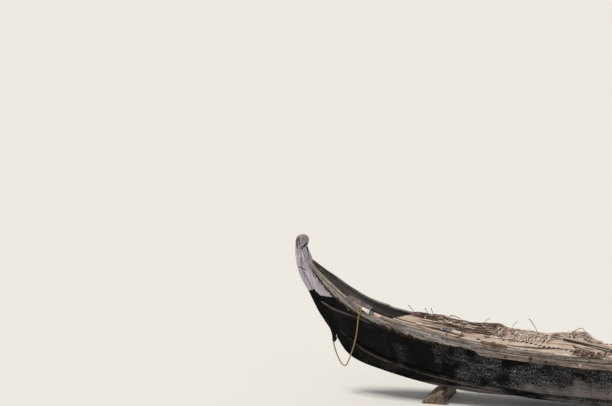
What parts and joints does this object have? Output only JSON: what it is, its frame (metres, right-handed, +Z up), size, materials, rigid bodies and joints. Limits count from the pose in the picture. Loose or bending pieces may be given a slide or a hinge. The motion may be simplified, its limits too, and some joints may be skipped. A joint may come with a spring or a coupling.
{
  "type": "sewn-plank beach canoe on timber bearers, under a palm-leaf mat cover",
  "caption": "Narrow double-ended sewn-plank fishing canoe with a tall swept-up stem, hauled up on rough timber bearers, its open hull covered with plaited palm-leaf mats",
  "frame": {"origin": "on the ground under the middle of the boat's length and breadth", "axes": "+X to the bow, +Y to port, +Z up"},
  "size_m": [9.2, 0.7648, 2.1],
  "materials": {
    "tarred_wood": "black tar, scuffed grey",
    "grey_wood": "bare and weathered",
    "painted_wood": "worn pale lilac-grey paint",
    "inside_wood": "bare and weathered",
    "palm_leaf": "plaited dry palm leaf",
    "palm_stalk": "dry palm stalk",
    "orange_wood": "bare orange-brown wood",
    "bearer_wood": "rough hewn",
    "coir_rope": "laid rope, faded yellow",
    "dark_coir": "dark coir knot"
  },
  "bodies": {
    "root": {"keel_plank": "tarred_wood", "bottom_plank_port_bow": "tarred_wood", "bottom_plank_starboard_bow": "tarred_wood", "bottom_plank_port_stern": "tarred_wood", "bottom_plank_starboard_stern": "tarred_wood", "side_plank_port_bow": "tarred_wood", "side_plank_starboard_bow": "tarred_wood", "side_plank_port_fore": "tarred_wood", "side_plank_port_middle": "tarred_wood", "side_plank_port_aft": "tarred_wood", "side_plank_starboard_fore": "tarred_wood", "side_plank_starboard_middle": "tarred_wood", "side_plank_starboard_aft": "tarred_wood", "side_plank_port_stern": "tarred_wood", "side_plank_starboard_stern": "tarred_wood", "wash_plank_port_bow": "grey_wood", "wash_plank_starboard_bow": "grey_wood", "wash_plank_port_stern": "grey_wood", "wash_plank_starboard_stern": "grey_wood", "bow_stem": "painted_wood", "breast_chock": "painted_wood", "stern_post": "grey_wood", "rail_cap_port": "grey_wood", "rail_cap_starboard": "grey_wood", "wale_port": "grey_wood", "wale_starboard": "grey_wood", "bilge_batten_port": "grey_wood", "bilge_batten_starboard": "grey_wood", "bow_batten_port": "grey_wood", "bow_batten_starboard": "grey_wood", "bow_crossbeam": "inside_wood", "thwart_1": "inside_wood", "thwart_2": "inside_wood", "thwart_3": "inside_wood", "thwart_4": "inside_wood", "thwart_5": "inside_wood", "thwart_6": "inside_wood", "thwart_7": "inside_wood", "stern_crossbeam": "inside_wood", "rib_1": "inside_wood", "rib_2": "inside_wood", "rib_3": "inside_wood", "rib_4": "inside_wood", "rib_5": "inside_wood", "rib_6": "inside_wood", "leaf_mat_1": "palm_leaf", "leaf_mat_2": "palm_leaf", "leaf_mat_3": "palm_leaf", "leaf_mat_4": "palm_leaf", "ridge_pole_fore": "palm_stalk", "ridge_pole_aft": "palm_stalk", "frond_stalk": "palm_stalk", "thole_bar_port": "orange_wood", "thole_bar_starboard": "orange_wood", "bearer_1": "bearer_wood", "bearer_2": "bearer_wood", "bearer_3": "bearer_wood", "rail_hitch": "coir_rope", "bow_rope": "coir_rope", "spur_knot": "dark_coir"}
  },
  "joints": []
}
